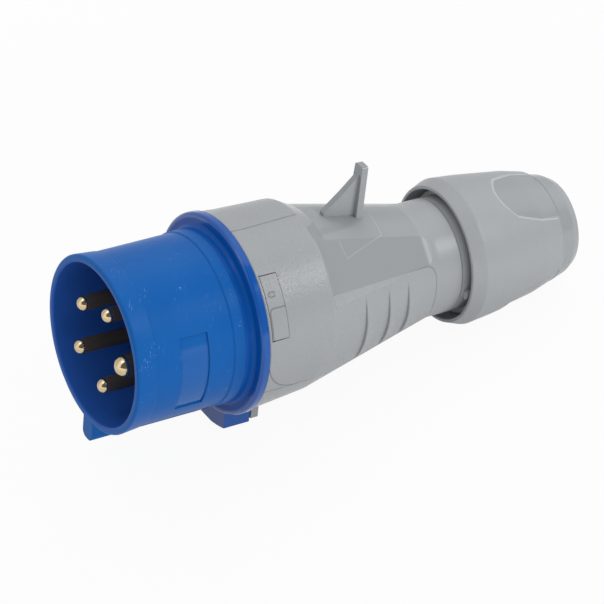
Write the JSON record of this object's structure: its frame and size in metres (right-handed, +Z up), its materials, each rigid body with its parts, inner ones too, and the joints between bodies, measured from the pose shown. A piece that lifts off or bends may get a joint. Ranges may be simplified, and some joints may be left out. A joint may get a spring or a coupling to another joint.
{
  "type": "industrial pin and sleeve plug",
  "caption": "Blue industrial pin and sleeve plug with keyed sleeve, domed brass contacts, grey bayonet handle with stop fin, lock tab and loosened cable gland nut.",
  "frame": {"origin": "centre of the flange's front face, on the axis of the sleeve", "axes": "+X along the axis from the contacts to the cable end, +Z up through the fin, away from the key and the retaining lug"},
  "size_m": [0.1748, 0.0664, 0.0808],
  "materials": {
    "blue_plastic": "semi-gloss moulded, lightly scuffed",
    "grey_plastic": "fine spark-eroded texture, smooth scoops",
    "carrier_plastic": "moulded, satin",
    "inner_grey_plastic": "moulded, satin",
    "contact_brass": "turned, bright",
    "screw_steel": "zinc plated",
    "seal_rubber": "matt",
    "grommet_rubber": "matt"
  },
  "bodies": {
    "front": {"sleeve_housing": "blue_plastic", "contact_carrier": "carrier_plastic", "pin_earth": "contact_brass", "pin_l1": "contact_brass", "pin_l2": "contact_brass", "pin_l3": "contact_brass", "pin_n": "contact_brass", "terminal_screw_earth": "screw_steel", "terminal_screw_l1": "screw_steel", "terminal_screw_l2": "screw_steel", "terminal_screw_l3": "screw_steel", "terminal_screw_n": "screw_steel", "carrier_retainer": "carrier_plastic", "retainer_screw": "screw_steel", "housing_seal": "seal_rubber"},
    "handle": {"handle": "grey_plastic", "lock_pin": "screw_steel", "clamp_cage": "inner_grey_plastic", "cable_grommet": "grommet_rubber"},
    "lock_tab": {"lock_tab": "grey_plastic"},
    "washer": {"slip_washer": "inner_grey_plastic"},
    "nut": {"gland_nut": "grey_plastic"}
  },
  "joints": [
    {"name": "handle_turn", "type": "hinge", "parent": "front", "child": "handle", "pos_m": [0, 0, 0], "axis": [-1, 0, 0], "range_deg": [0, 30]},
    {"name": "tab_press", "type": "hinge", "parent": "handle", "child": "lock_tab", "pos_m": [0.00725, -0.02091, 0.02363], "axis": [1, 0, 0], "range_deg": [0, 4], "stiffness_Nm_per_rad": 0.3, "springref_deg": -2.86},
    {"name": "nut_travel", "type": "slide", "parent": "handle", "child": "washer", "axis": [1, 0, 0], "range_m": [-0.0048, 0.005]},
    {"name": "nut_turn", "type": "hinge", "parent": "washer", "child": "nut", "pos_m": [0.11, 0, 0], "axis": [1, 0, 0], "range_deg": [-570, 594]}
  ],
  "couplings": [
    {"joint": "nut_travel", "follows": "nut_turn", "m_per_rad": 0.00047746}
  ]
}
